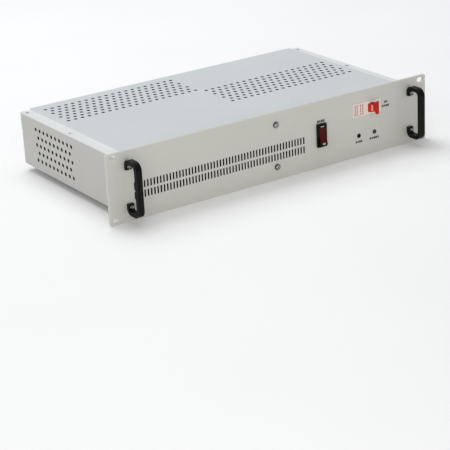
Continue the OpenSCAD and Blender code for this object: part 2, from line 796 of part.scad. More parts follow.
module transformer_coil() color("#a8442c") at_rack()
    translate([transformer_at[0], transformer_at[1], floor_top + 29]) difference() {
        translate([-29.6, -28, -14.6]) cube([59.2, 56, 29.2]);
        cube([30.2, 34.4, 60], center = true);
    }

module transformer_bolts() color("silver") at_rack()
    translate([transformer_at[0], transformer_at[1], floor_top])
        for (sx = [-1, 1], z = [6, 52])
            translate([sx * 39, 0, z]) {
                rod_y(2, -20, 20);
                for (y = [-20.2, 17])
                    translate([0, y, 0]) rotate([-90, 0, 0]) cylinder(d = 8, h = 3.2, $fn = 6);
            }

fin_count = 9;
module heatsink() color("#8a8d90") at_rack()
    translate([-190, 104, board_z + board_t]) {
        cube([64, 120, 5]);
        for (i = [0:fin_count - 1])
            translate([i * 7.7, 0, 4.5]) cube([2.4, 120, 30]);
    }

module power_transistors() color("#202020") at_rack()
    for (i = [0:4])
        translate([-126, 112 + i * 22, board_z + board_t]) cube([5, 16, 21]);

module bulk_capacitors() color("#27405e") at_rack()
    for (i = [0:1], j = [0:2])
        translate([-94 + i * 34, 128 + j * 36, board_z + board_t]) {
            cylinder(r = 14, h = 38, $fn = 48);
            cylinder(r = 12.6, h = 40, $fn = 48);
        }

module output_choke() color("#a8642c") at_rack()
    translate([44, 168, board_z + board_t + 11])
        rotate_extrude($fn = 64) translate([18, 0]) circle(r = 9.5, $fn = 32);

module relays() color("#2a2f6a") at_rack()
    for (i = [0:3])
        translate([84, 104 + i * 22, board_z + board_t]) cube([28, 16, 20]);

module control_board() color("#2f6b3c") at_rack()
    translate([20, 100, board_z + board_t]) {
        cube([1.6, 44, 36]);
        translate([1.6, 10, 14]) cube([2, 14, 14]);
    }

module mains_filter() color("#a0a4a8") at_rack()
    translate([166, 150, floor_top]) cube([46, 62, 28]);

// Unit vector
function unit(v) = v / norm(v);

// Direction of a route at its point i, halfway between the runs that meet there
function heading(points, i) = unit(
    (i > 0 ? unit(points[i] - points[i - 1]) : [0, 0, 0]) +
    (i < len(points) - 1 ? unit(points[i + 1] - points[i]) : [0, 0, 0])
);

// Ring of corners round point i of a route; no route runs along the slanted reference direction
function ring(points, i, r, sides) =
    let (
        t = heading(points, i),
        u = unit(cross(t, [0.31, 0.53, 0.79])),
        v = cross(t, u)
    )
    [for (k = [0:sides - 1]) points[i] + r * (u * cos(360 * k / sides) + v * sin(360 * k / sides))];

// A wire of radius r along a list of points
module wire(points, r, sides = 8) {
    last = len(points) - 1;
    polyhedron(
        [for (i = [0:last]) each ring(points, i, r, sides)],
        concat(
            [[for (k = [0:sides - 1]) k]],
            [for (i = [0:last - 1], k = [0:sides - 1])
                [i * sides + k, (i + 1) * sides + k, (i + 1) * sides + (k + 1) % sides]],
            [for (i = [0:last - 1], k = [0:sides - 1])
                [i * sides + k, (i + 1) * sides + (k + 1) % sides, i * sides + (k + 1) % sides]],
            [[for (k = [sides - 1:-1:0]) last * sides + k]]
        )
    );
}

module battery_wires() color("#b01818") at_rack() {
    wire([[178, 30, 62.5], [193, 30, 62.5], [193, 140, 60], [152.9, 190, 56], [152.9, 237.1, 50]], 2.2);
    wire([[109.4, 30, 62.5], [96, 30, 62.5], [96, 84, 56], [139.5, 84, 54], [139.5, 200, 54],
        [139.5, 237.1, 50]], 2.2);
}

module mains_wires() color("#303030") at_rack() {
    for (x = [183.2, 197.2])
        wire([[x, 222, 35.6], [x, 219, 35.6], [x, 214.5, 30], [x, 212.1, 30]], 1.6);
    wire([[189, 149.9, 25], [189, 80, 25], [72, 80, 20], [69.7, 31, 35]], 1.6);
}

front_panel();
chassis_tray();
rear_panel();
top_cover();
handle_left();
handle_right();
handle_screws();
panel_screws();
clinch_nuts();
cover_screws();
rear_cover_screws();
rear_panel_screws();
switch_body();
switch_rocker();
rocker_lens();
switch_blades();
breaker_body();
breaker_toggle();
breaker_clamps();
breaker_rail();
led_holders();
led_lenses();
indicator_board();
inlet_body();
inlet_blades();
earth_stud();
earth_washers();
earth_nuts();
terminal_base();
terminal_plates();
terminal_screws();
terminal_cover();
terminal_fixings();
dsub_shell();
dsub_insert();
dsub_contacts();
dsub_jackscrews();
rating_label();
power_board();
board_standoffs();
board_screws();
transformer_core();
transformer_coil();
transformer_bolts();
heatsink();
power_transistors();
bulk_capacitors();
output_choke();
relays();
output_board();
control_board();
mains_filter();
battery_wires();
mains_wires();
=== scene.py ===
"""Looks of the rackmount UPS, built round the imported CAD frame. Lengths are in metres."""

import json
import math

import bmesh
import bpy
from mathutils import Matrix, Vector


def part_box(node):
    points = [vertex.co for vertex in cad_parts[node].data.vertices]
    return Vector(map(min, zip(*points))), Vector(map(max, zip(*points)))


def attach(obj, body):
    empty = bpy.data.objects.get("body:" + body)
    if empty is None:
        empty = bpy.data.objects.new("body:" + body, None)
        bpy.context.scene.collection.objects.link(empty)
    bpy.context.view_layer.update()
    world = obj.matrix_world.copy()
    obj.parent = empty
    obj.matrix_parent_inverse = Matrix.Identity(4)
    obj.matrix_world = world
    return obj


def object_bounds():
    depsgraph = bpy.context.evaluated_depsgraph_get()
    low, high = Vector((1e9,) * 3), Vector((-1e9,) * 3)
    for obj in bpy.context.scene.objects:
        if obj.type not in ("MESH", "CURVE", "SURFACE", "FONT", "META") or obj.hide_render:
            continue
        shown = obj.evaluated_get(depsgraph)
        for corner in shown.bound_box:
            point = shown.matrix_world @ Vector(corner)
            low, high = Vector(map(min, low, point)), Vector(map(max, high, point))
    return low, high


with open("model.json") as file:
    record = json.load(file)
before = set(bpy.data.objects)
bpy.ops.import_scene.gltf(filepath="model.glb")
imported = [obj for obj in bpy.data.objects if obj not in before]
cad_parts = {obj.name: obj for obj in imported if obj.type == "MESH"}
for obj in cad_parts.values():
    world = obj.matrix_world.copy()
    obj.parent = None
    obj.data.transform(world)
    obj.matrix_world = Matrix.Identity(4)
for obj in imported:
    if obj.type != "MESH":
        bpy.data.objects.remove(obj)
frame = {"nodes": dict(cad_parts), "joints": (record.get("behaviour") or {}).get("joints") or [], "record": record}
CAD_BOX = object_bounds()
NODES = frame["nodes"]
MM = 0.001


# ---------- camera, floor and lights ----------

CAMERA_AZIMUTH = math.radians(-33.193)
CAMERA_ELEVATION = math.radians(21.457)
CAMERA_ROLL = math.radians(-2.916)
CAMERA_AT = Vector((-1.1026, -1.5638, 0.6496))
CAMERA_LENS = 130.3


def turned_to(azimuth, elevation, roll=0.0):
    """Rotation whose -Z looks back at the middle from that azimuth and elevation."""
    back = Vector((
        math.sin(azimuth) * math.cos(elevation),
        -math.cos(azimuth) * math.cos(elevation),
        math.sin(elevation),
    ))
    right = Vector((0, 0, 1)).cross(back).normalized()
    up = back.cross(right)
    turned = Matrix((right, up, back)).transposed()
    return turned @ Matrix.Rotation(roll, 3, "Z")


def link(name, data):
    """A new object holding data, in the scene."""
    made = bpy.data.objects.new(name, data)
    bpy.context.scene.collection.objects.link(made)
    return made


def make_camera():
    """The camera that the photograph's front view was fitted with."""
    data = bpy.data.cameras.new("camera")
    data.lens = CAMERA_LENS
    data.sensor_width = 36
    data.clip_start = 0.05
    data.clip_end = 30
    camera = link("camera", data)
    turned = turned_to(CAMERA_AZIMUTH, CAMERA_ELEVATION, CAMERA_ROLL)
    camera.matrix_world = Matrix.Translation(CAMERA_AT) @ turned.to_4x4()
    bpy.context.scene.camera = camera


# Azimuth and elevation in degrees, distance, size, power in watts and colour of each light
SOFTBOXES = {
    "back_light": (186, 60, 2.3, 1.5, 21, (0.94, 0.98, 1.0)),
    "overhead_light": (150, 80, 2.2, 1.6, 10, (0.96, 0.98, 1.0)),
    "front_light": (-40, 19, 1.9, 1.3, 8.8, (1.0, 0.985, 0.95)),
}
SURROUND_STRENGTH = 0.47


def softbox(name, azimuth, elevation, distance, size, power, color):
    """A square area light that faces the object from that direction."""
    data = bpy.data.lights.new(name, "AREA")
    data.shape = "SQUARE"
    data.size = size
    data.energy = power
    data.color = color
    light = link(name, data)
    turned = turned_to(math.radians(azimuth), math.radians(elevation))
    middle = (CAD_BOX[0] + CAD_BOX[1]) / 2
    at = middle + turned @ Vector((0, 0, distance))
    light.matrix_world = Matrix.Translation(at) @ turned.to_4x4()


def make_lights():
    for name, settings in SOFTBOXES.items():
        softbox(name, *settings)
    world = bpy.data.worlds.new("studio")
    world.use_nodes = True
    background = world.node_tree.nodes["Background"]
    background.inputs["Color"].default_value = (1.0, 1.0, 1.0, 1.0)
    background.inputs["Strength"].default_value = SURROUND_STRENGTH
    bpy.context.scene.world = world
    bpy.context.scene.view_settings.view_transform = "Standard"


# ---------- materials ----------

class Finish:
    """One Principled material, with the nodes that vary it over the surface."""

    def __init__(self, name, **values):
        self.material = bpy.data.materials.new(name)
        self.material.use_nodes = True
        self.nodes = self.material.node_tree.nodes
        self.links = self.material.node_tree.links
        self.shader = self.nodes["Principled BSDF"]
        for socket, value in values.items():
            self.shader.inputs[socket.replace("_", " ")].default_value = value
        coordinates = self.nodes.new("ShaderNodeTexCoord").outputs
        self.place, self.facing = coordinates["Object"], coordinates["Normal"]

    def feed(self, node, inputs):
        """Sets or links a node's inputs by name."""
        for name, value in inputs.items():
            socket = node.inputs[name]
            if isinstance(value, bpy.types.NodeSocket):
                self.links.new(value, socket)
            else:
                socket.default_value = value

    def node(self, kind, **inputs):
        made = self.nodes.new("ShaderNode" + kind)
        self.feed(made, {name.replace("_", " "): value for name, value in inputs.items()})
        return made

    def stretched(self, x, y, z):
        """The object's own coordinates, scaled along each axis."""
        return self.node("Mapping", Vector=self.place, Scale=(x, y, z)).outputs["Vector"]

    def noise(self, scale, detail=2.0, at=None):
        made = self.node("TexNoise", Vector=at or self.place, Scale=scale, Detail=detail)
        return made.outputs["Fac"]

    def cells(self, scale, at=None):
        made = self.node("TexVoronoi", Vector=at or self.place, Scale=scale)
        return made.outputs["Distance"]

    def bands(self, scale, axis, distortion=0.0):
        made = self.node("TexWave", Vector=self.place, Scale=scale, Distortion=distortion)
        made.bands_direction = axis
        return made.outputs["Fac"]

    def ranged(self, value, low, high, from_low=0.3, from_high=0.7):
        """value's middle range spread from low to high."""
        made = self.node("MapRange", Value=value)
        self.feed(made, {"From Min": from_low, "From Max": from_high})
        self.feed(made, {"To Min": low, "To Max": high})
        return made.outputs["Result"]

    def blend(self, share, first, second):
        """A colour between two colours."""
        made = self.nodes.new("ShaderNodeMix")
        made.data_type = "RGBA"
        for index, value in ((0, share), (6, first), (7, second)):
            if isinstance(value, bpy.types.NodeSocket):
                self.links.new(value, made.inputs[index])
            elif index:
                made.inputs[index].default_value = (*value[:3], 1.0)
            else:
                made.inputs[index].default_value = value
        return made.outputs[2]

    def combined(self, operation, first, second):
        """A number from 0 to 1, made from two numbers."""
        made = self.nodes.new("ShaderNodeMath")
        made.operation = operation
        made.use_clamp = True
        for socket, value in zip(made.inputs, (first, second)):
            if isinstance(value, bpy.types.NodeSocket):
                self.links.new(value, socket)
            else:
                socket.default_value = value
        return made.outputs[0]

    def inside(self, low, high):
        """1 where the surface lies inside the box from low to high, else 0."""
        middle, half = (low + high) / 2, (high - low) / 2
        offset = self.vector("SUBTRACT", self.place, middle)
        share = self.vector("ABSOLUTE", self.vector("DIVIDE", offset, half))
        axes = self.node("SeparateXYZ", Vector=share).outputs
        widest = self.combined("MAXIMUM", self.combined("MAXIMUM", axes[0], axes[1]), axes[2])
        return self.combined("LESS_THAN", widest, 0.9999)

    def vector(self, operation, first, second=None):
        """A vector, or for DOT_PRODUCT a number, made from one or two vectors."""
        made = self.nodes.new("ShaderNodeVectorMath")
        made.operation = operation
        for socket, value in zip(made.inputs, (first, second)):
            if isinstance(value, bpy.types.NodeSocket):
                self.links.new(value, socket)
            elif value is not None:
                socket.default_value = value
        return made.outputs["Value" if operation == "DOT_PRODUCT" else "Vector"]

    def edges(self, radius):
        """From 0 on a flat to 1 on a sharp edge, from how far a rounded normal leans."""
        rounded = self.node("Bevel", Radius=radius).outputs["Normal"]
        straight = self.nodes.new("ShaderNodeNewGeometry").outputs["Normal"]
        return self.ranged(self.vector("DOT_PRODUCT", rounded, straight), 1.0, 0.0, 0.75, 0.98)

    def relief(self, *layers):
        """Bumps, each a height and its depth in metres, laid over each other."""
        under = None
        for height, depth in layers:
            bump = self.node("Bump", Height=height, Distance=depth, Strength=1.0)
            if under:
                self.links.new(under, bump.inputs["Normal"])
            under = bump.outputs["Normal"]
        self.links.new(under, self.shader.inputs["Normal"])

    def drive(self, **sockets):
        """Links sockets of the shader to nodes."""
        for name, value in sockets.items():
            self.links.new(value, self.shader.inputs[name.replace("_", " ")])


def shade(color, factor):
    """color made darker or lighter by factor."""
    return tuple(min(1.0, channel * factor) for channel in color)


# Boxes, each a low and a high corner, in which a finish changes its colour

TRAY_LOW, TRAY_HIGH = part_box("chassis_tray")
COVER_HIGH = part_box("top_cover")[1]
PANEL_LOW, PANEL_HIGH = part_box("front_panel")
LED_LOW, LED_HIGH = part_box("led_lenses")
CASE_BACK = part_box("rear_panel")[1].y
# How far a box that holds the inside of the case stays under the outer faces
PAINT_DEPTH = 0.15 * MM
BEHIND_PANEL = 0.6 * MM
# Width of a side strip of the cover, with the step up to the raised middle
STRIP_WIDTH = 16.5 * MM
# Heights below the raised middle of the cover
UNDER_STRIPS = 3.6 * MM
STRIPS_FROM, STRIPS_TO = 3.4 * MM, 1.0 * MM
LIP_TO = 1.4 * MM
# Reach of the box round the cover's rear lip, behind the back of the rear panel and before it
LIP_BEHIND, LIP_BEFORE = 9 * MM, 0.6 * MM
# Box round the panel's cooling slots: left, lower and upper side from the panel's own left and
# lower edges, and right side in the frame
SLOTS_LEFT, SLOTS_FOOT, SLOTS_HEAD = 30 * MM, 20 * MM, 50 * MM
SLOTS_RIGHT_X = 50 * MM

# Painted shade: inside this box the case and the cover are painted near black
CASE_INSIDE = (
    Vector((TRAY_LOW.x + PAINT_DEPTH, BEHIND_PANEL, TRAY_LOW.z + PAINT_DEPTH)),
    Vector((TRAY_HIGH.x - PAINT_DEPTH, CASE_BACK - PAINT_DEPTH, COVER_HIGH.z - UNDER_STRIPS)),
)
# Painted shade: inside this box, under the raised middle of the cover, the sheet is painted near black
COVER_INSIDE = (
    Vector((TRAY_LOW.x + STRIP_WIDTH, BEHIND_PANEL, TRAY_LOW.z)),
    Vector((TRAY_HIGH.x - STRIP_WIDTH, CASE_BACK - PAINT_DEPTH, COVER_HIGH.z - PAINT_DEPTH)),
)
# Painted shade: inside this box the walls of the panel's cooling slots are painted near black
VENT_SLOTS = (
    Vector((PANEL_LOW.x + SLOTS_LEFT, PANEL_LOW.y + PAINT_DEPTH, PANEL_LOW.z + SLOTS_FOOT)),
    Vector((SLOTS_RIGHT_X, PANEL_HIGH.y + MM, PANEL_LOW.z + SLOTS_HEAD)),
)
COVER_LIP = (
    Vector((TRAY_LOW.x - MM, CASE_BACK - LIP_BEFORE, TRAY_LOW.z)),
    Vector((TRAY_HIGH.x + MM, CASE_BACK + LIP_BEHIND, COVER_HIGH.z - LIP_TO)),
)
# Box of the cover's side strips, whose paint is lighter as a painted highlight
COVER_STRIPS = (
    Vector((TRAY_LOW.x - MM, 0, COVER_HIGH.z - STRIPS_FROM)),
    Vector((TRAY_HIGH.x + MM, CASE_BACK, COVER_HIGH.z - STRIPS_TO)),
)
LEFT_LED = (
    LED_LOW - Vector((MM, MM, MM)),
    Vector(((LED_LOW.x + LED_HIGH.x) / 2, LED_HIGH.y + MM, LED_HIGH.z + MM)),
)

# Near black painted shade for the sheet inside the case and the walls of the panel's slots
INSIDE_SHADE_COLOR = (0.02, 0.017, 0.015)
# The cover's lip keeps the plain paint colour of the case
LIP_PAINT = (0.54, 0.53, 0.5)
# Lighter paint on the cover's side strips: a painted highlight
STRIP_HIGHLIGHT_PAINT = (0.76, 0.785, 0.79)


def powder_coat(name, color, roughness, unlit, patches=()):
    """Baked paint: fine orange peel, faint cloudiness and a painted highlight on the edges.

    unlit are the boxes inside which the sheet is painted near black as shade, and patches are boxes
    with the colour of the paint in them; on the cover's side strips that colour is a painted highlight.
    """
    made = Finish(name)
    cloud = made.ranged(made.noise(11, 4), 0.0, 1.0)
    speck = made.ranged(made.noise(2600, 2), 0.0, 1.0)
    coat = made.blend(cloud, shade(color, 0.975), shade(color, 1.02))
    for box, tone in patches:
        toned = made.blend(cloud, shade(tone, 0.975), shade(tone, 1.02))
        coat = made.blend(made.inside(*box), coat, toned)
    coat = made.blend(made.combined("MULTIPLY", speck, 0.12), coat, shade(color, 0.9))
    # Painted highlight: sharp edges get a lighter paint colour, broken up by noise
    wear_and_highlight_noise = made.ranged(made.noise(160, 3), 0.45, 1.0)
    edge_highlight = made.combined("MULTIPLY", made.edges(0.5 * MM), wear_and_highlight_noise)
    coat = made.blend(edge_highlight, coat, shade(color, 1.35))
    # Painted shade: the sheet inside the unlit boxes is near black
    inside_shade = made.blend(cloud, shade(INSIDE_SHADE_COLOR, 0.7), shade(INSIDE_SHADE_COLOR, 1.4))
    for box in unlit:
        coat = made.blend(made.inside(*box), coat, inside_shade)
    made.drive(
        Base_Color=coat,
        Roughness=made.ranged(made.noise(320, 3), roughness - 0.05, roughness + 0.05),
    )
    made.relief((made.noise(620, 2), 0.018 * MM), (made.noise(2900, 1), 0.006 * MM))
    return made


def moulded(name, color, roughness, grain=2200, depth=0.01, **values):
    """Moulded plastic: even grain, faint flow marks and rubbed edges."""
    made = Finish(name, **values)
    flow = made.ranged(made.noise(40, 3, made.stretched(1, 1, 2.5)), 0.0, 1.0)
    wear_and_highlight_noise = made.ranged(made.noise(420, 3), 0.1, 0.8)
    rubbed = made.combined("MULTIPLY", made.edges(0.35 * MM), wear_and_highlight_noise)
    body = made.blend(flow, shade(color, 0.88), shade(color, 1.1))
    lighter = tuple(0.8 * channel + 0.012 for channel in shade(color, 1.3))
    made.drive(
        Base_Color=made.blend(rubbed, body, lighter),
        Roughness=made.ranged(made.noise(260, 3), roughness - 0.07, roughness + 0.07),
    )
    made.relief((made.cells(grain), depth * MM), (made.noise(90, 2), 0.02 * MM))
    return made


def satin_black(name):
    """Black-coated bar: fine grain, greyer where hands and edges have rubbed it."""
    made = Finish(name, Specular_IOR_Level=0.12)
    cloud = made.ranged(made.noise(70, 4), 0.0, 1.0)
    body = made.blend(cloud, (0.0015, 0.0015, 0.0017), (0.005, 0.005, 0.005))
    wear_and_highlight_noise = made.ranged(made.noise(260, 4), 0.0, 0.9, 0.35, 0.7)
    rubbed = made.combined("MULTIPLY", made.edges(0.8 * MM), wear_and_highlight_noise)
    made.drive(
        Base_Color=made.blend(rubbed, body, (0.05, 0.05, 0.048)),
        Roughness=made.ranged(made.noise(240, 3), 0.3, 0.44),
    )
    made.relief((made.noise(1500, 3), 0.02 * MM), (made.noise(300, 2), 0.02 * MM))
    return made


def plated(name, color, roughness, tint=None, domed=None):
    """Plated metal: fine scratches, cloudy plating and, with tint, a passivated colour drift.

    domed is the axis of screw heads: their flanks are painted darker, as a painted dark reflection.
    """
    made = Finish(name, Metallic=1.0)
    cloud = made.ranged(made.noise(170, 4), 0.0, 1.0, 0.35, 0.65)
    base = made.blend(cloud, shade(color, 0.82), shade(color, 1.08))
    if tint:
        base = made.blend(made.ranged(made.noise(110, 2), 0.0, 0.75, 0.4, 0.62), base, tint)
    # Painted shade: the metal is darker in recesses and hollows, from ambient occlusion
    open_to_air = made.node("AmbientOcclusion", Distance=1.2 * MM).outputs["AO"]
    painted_shade = made.ranged(open_to_air, 0.9, 0.0, 0.35, 0.9)
    if domed:
        lean = made.combined("ABSOLUTE", made.vector("DOT_PRODUCT", made.facing, domed), 0.0)
        painted_shade = made.combined("MAXIMUM", painted_shade, made.ranged(lean, 1.0, 0.0, 0.8, 0.98))
    made.drive(
        Base_Color=made.blend(painted_shade, base, shade(color, 0.12)),
        Roughness=made.ranged(made.noise(900, 4), roughness - 0.08, roughness + 0.1),
    )
    scratches = made.noise(900, 3, made.stretched(1, 0.25, 6))
    made.relief((scratches, 0.008 * MM), (made.noise(240, 2), 0.01 * MM))
    return made


def clear_plastic(name, color, roughness):
    """Clear moulding with faint haze, fine scratches and flow lines."""
    made = Finish(name, Transmission_Weight=1.0, IOR=1.46)
    haze = made.ranged(made.noise(60, 3), 0.0, 1.0)
    scratches = made.noise(420, 4, made.stretched(1, 1, 5))
    made.drive(
        Base_Color=made.blend(haze, shade(color, 0.94), color),
        Roughness=made.ranged(scratches, roughness, roughness + 0.1),
    )
    made.relief((made.noise(130, 2), 0.02 * MM), (made.noise(1200, 2), 0.003 * MM))
    return made


def lamp_lens(name, dark, bright, unlit=None):
    """Tinted lens over a lamp, ribbed inside. unlit is the box of a lens with nothing behind it."""
    made = Finish(name, Specular_IOR_Level=0.12, IOR=1.49)
    mottle = made.ranged(made.noise(330, 4), 0.0, 0.7)
    ribs = made.ranged(made.bands(520, "X"), 0.0, 0.35, 0.0, 1.0)
    color = made.blend(made.combined("ADD", mottle, ribs), dark, bright)
    if unlit:
        color = made.blend(made.inside(*unlit), color, shade(dark, 0.3))
    made.drive(
        Base_Color=color,
        Roughness=made.ranged(made.noise(500, 2), 0.16, 0.3),
    )
    made.relief((made.bands(520, "X"), 0.05 * MM), (made.noise(800, 2), 0.01 * MM))
    return made


def printed_film(name, color):
    """Metallised label film with a fine brushed grain."""
    made = Finish(name, Metallic=0.35, Coat_Weight=0.25, Coat_Roughness=0.3)
    grain = made.ranged(made.noise(1400, 3, made.stretched(0.06, 1, 1)), 0.0, 1.0)
    made.drive(
        Base_Color=made.blend(grain, shade(color, 0.88), shade(color, 1.12)),
        Roughness=made.ranged(made.noise(300, 3), 0.3, 0.46),
    )
    made.relief((made.noise(90, 2), 0.03 * MM), (made.noise(2000, 2), 0.003 * MM))
    return made


def ink(name, color):
    """Screen-printed ink, with pinholes and an uneven edge."""
    made = Finish(name)
    holes = made.ranged(made.noise(3200, 3), 0.0, 0.5, 0.5, 0.8)
    made.drive(
        Base_Color=made.blend(holes, color, tuple(0.8 * channel + 0.06 for channel in color)),
        Roughness=made.ranged(made.noise(700, 2), 0.5, 0.7),
    )
    made.relief((made.noise(1800, 2), 0.006 * MM))
    return made


def circuit_board(name, color):
    """Solder mask over tracks, which run as fine raised bands."""
    made = Finish(name, Coat_Weight=0.3, Coat_Roughness=0.2)
    tracks = made.ranged(made.bands(160, "X", 3.0), 0.0, 1.0, 0.55, 0.62)
    patches = made.ranged(made.cells(60), 0.0, 1.0, 0.2, 0.24)
    copper = made.combined("MULTIPLY", tracks, patches)
    made.drive(
        Base_Color=made.blend(copper, color, shade(color, 1.7)),
        Roughness=made.ranged(made.noise(500, 2), 0.3, 0.45),
    )
    made.relief((copper, 0.03 * MM))
    return made


def laminations(name, color):
    """Stacked steel sheets, varnished."""
    made = Finish(name, Metallic=0.6)
    sheets = made.bands(320, "Y")
    between = made.ranged(sheets, 0.0, 1.0, 0.2, 0.8)
    made.drive(
        Base_Color=made.blend(between, shade(color, 0.5), shade(color, 1.3)),
        Roughness=made.ranged(made.noise(200, 3), 0.4, 0.6),
    )
    made.relief((sheets, 0.08 * MM))
    return made


def wound(name, color, pitch, axis):
    """Turns of wire or tape round a core."""
    made = Finish(name, Coat_Weight=0.3, Coat_Roughness=0.25)
    turns = made.bands(pitch, axis, 0.6)
    between = made.ranged(turns, 0.0, 1.0, 0.1, 0.9)
    made.drive(
        Base_Color=made.blend(between, shade(color, 0.5), shade(color, 1.25)),
        Roughness=made.ranged(made.noise(300, 3), 0.3, 0.5),
    )
    made.relief((turns, 0.15 * MM))
    return made


# Colour and roughness of each material slot of the CAD record
FINISHES = {
    "panel_paint": powder_coat("panel_paint", (0.617, 0.607, 0.561), 0.42, [VENT_SLOTS]),
    "case_paint": powder_coat("case_paint", (0.54, 0.53, 0.5), 0.42, [CASE_INSIDE]),
    # The cover's cool tint is a painted reflection of the cool light from above; its lip has the plain paint
    # colour
    "cover_paint": powder_coat(
        "cover_paint", (0.625, 0.655, 0.672), 0.34,
        [CASE_INSIDE, COVER_INSIDE], [(COVER_LIP, LIP_PAINT), (COVER_STRIPS, STRIP_HIGHLIGHT_PAINT)],
    ),
    "handle_black": satin_black("handle_black"),
    "screw_zinc": plated("screw_zinc", (0.54, 0.54, 0.53), 0.2, domed=(0, 1, 0)),
    "screw_dark": plated("screw_dark", (0.2, 0.2, 0.19), 0.4),
    "black_plastic": moulded("black_plastic", (0.003, 0.003, 0.003), 0.34, Specular_IOR_Level=0.15),
    "red_lens": lamp_lens("red_lens", (0.016, 0.0002, 0.0004), (0.13, 0.0008, 0.0015)),
    "breaker_white": moulded("breaker_white", (0.86, 0.84, 0.8), 0.4),
    "breaker_red": moulded("breaker_red", (0.56, 0.018, 0.005), 0.36, Specular_IOR_Level=0.25),
    "led_lens": lamp_lens("led_lens", (0.02, 0.028, 0.02), (0.2, 0.25, 0.2), LEFT_LED),
    "clear_cover": clear_plastic("clear_cover", (0.86, 0.88, 0.88), 0.05),
    "contact_metal": plated("contact_metal", (0.42, 0.42, 0.41), 0.3),
    "yellow_zinc": plated("yellow_zinc", (0.66, 0.6, 0.4), 0.34, tint=(0.52, 0.6, 0.42)),
    "gold_shell": plated("gold_shell", (0.5, 0.41, 0.28), 0.3, tint=(0.42, 0.36, 0.28)),
    "insert_tan": moulded("insert_tan", (0.42, 0.3, 0.15), 0.5),
    "label_silver": printed_film("label_silver", (0.25, 0.265, 0.28)),
    "board_green": circuit_board("board_green", (0.02, 0.12, 0.05)),
    "core_steel": laminations("core_steel", (0.16, 0.15, 0.14)),
    "coil_tape": wound("coil_tape", (0.42, 0.09, 0.05), 180, "Z"),
    "copper_wire": wound("copper_wire", (0.5, 0.2, 0.07), 240, "X"),
    "sink_aluminium": plated("sink_aluminium", (0.56, 0.57, 0.59), 0.42),
    "capacitor_sleeve": moulded("capacitor_sleeve", (0.03, 0.06, 0.16), 0.32),
    "relay_blue": moulded("relay_blue", (0.04, 0.06, 0.25), 0.4),
    "red_insulation": moulded("red_insulation", (0.42, 0.02, 0.02), 0.45),
    "black_insulation": moulded("black_insulation", (0.02, 0.02, 0.02), 0.45),
}
# Finishes that no material slot names: the flat cover screws, the printed marks and the painted highlight on the
# lever
BRIGHT_SCREW = plated("bright_screw", (0.8, 0.82, 0.84), 0.34, domed=(0, 0, 1))
INK_DARK = ink("ink_dark", (0.03, 0.03, 0.035))
INK_WHITE = ink("ink_white", (0.8, 0.8, 0.78))
# A pale painted highlight on the root of the breaker lever
LEVER_HIGHLIGHT_INK = ink("lever_highlight_ink", (0.86, 0.36, 0.3))
INK_PINK = ink("ink_pink", (0.3, 0.13, 0.11))
INK_BLUE = ink("ink_blue", (0.05, 0.06, 0.09))
FILM_PINK = ink("film_pink", (0.9, 0.74, 0.68))


def paint(obj, finish):
    """Gives an object one finish."""
    obj.data.materials.clear()
    obj.data.materials.append(finish.material)


# ---------- CAD nodes ----------

# Radius of the sharp edges, in millimetres, and the nodes that have it
EDGE_RADII = {
    0.9: ["handle_left", "handle_right"],
    0.5: ["switch_rocker", "breaker_toggle", "inlet_body", "terminal_base"],
    0.4: ["chassis_tray"],
    0.3: [
        "front_panel", "top_cover", "rear_panel", "breaker_body", "terminal_cover", "dsub_shell",
        "switch_body",
    ],
    0.2: [
        "panel_screws", "handle_screws", "rear_cover_screws", "rear_panel_screws", "cover_screws",
        "earth_nuts", "earth_washers", "earth_stud", "terminal_screws", "terminal_fixings",
        "dsub_insert", "dsub_jackscrews", "led_holders", "rocker_lens",
    ],
}


def soften(obj, radius):
    """Rounds a CAD node's sharp edges. They are welded first, since the import splits them."""
    weld = obj.modifiers.new("weld", "WELD")
    weld.merge_threshold = 0.002 * MM
    flat = obj.modifiers.new("whole_faces", "DECIMATE")
    flat.decimate_type = "DISSOLVE"
    flat.angle_limit = math.radians(0.5)
    bevel = obj.modifiers.new("soft_edges", "BEVEL")
    bevel.width = radius
    bevel.segments = 3
    bevel.limit_method = "ANGLE"
    bevel.angle_limit = math.radians(28)
    even = obj.modifiers.new("even_shading", "WEIGHTED_NORMAL")
    even.keep_sharp = False
    even.weight = 100


def finish_cad_nodes():
    """Paints every CAD node by its material slot, and rounds the edges that show."""
    for part in frame["record"]["subparts"]:
        paint(NODES[part["node"]], FINISHES[part["material_slot"]])
    for radius, names in EDGE_RADII.items():
        for name in names:
            soften(NODES[name], radius * MM)
    paint(NODES["cover_screws"], BRIGHT_SCREW)


# ---------- printed marks, and the lever's painted highlight ---

# Height of a print above its face, and how deep it starts in the face
INK_THICKNESS = 0.06 * MM
INK_ROOT = -0.2 * INK_THICKNESS
# Height of most rows of blocks
TEXT_HEIGHT = 2.8 * MM


def place(origin, right, up, out):
    """Matrix of a face: u runs right, v up and n out of it."""
    turned = Matrix((Vector(right), Vector(up), Vector(out))).transposed()
    return Matrix.Translation(Vector(origin)) @ turned.to_4x4()


def front_face(node):
    """The front of a CAD node, with u and v equal to the frame's x and z."""
    return place((0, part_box(node)[0].y, 0), (1, 0, 0), (0, 0, 1), (0, -1, 0))


def rear_face(node):
    """The back of a CAD node, with u equal to the frame's -x and v to its z."""
    return place((0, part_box(node)[1].y, 0), (-1, 0, 0), (0, 0, 1), (0, 1, 0))


def middle_of(node):
    """Middle of a CAD node's box."""
    low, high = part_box(node)
    return (low + high) / 2


def joint_at(name):
    """Where a joint of the frame is."""
    return next(Vector(j["pos_m"]) for j in frame["joints"] if j["name"] == name)


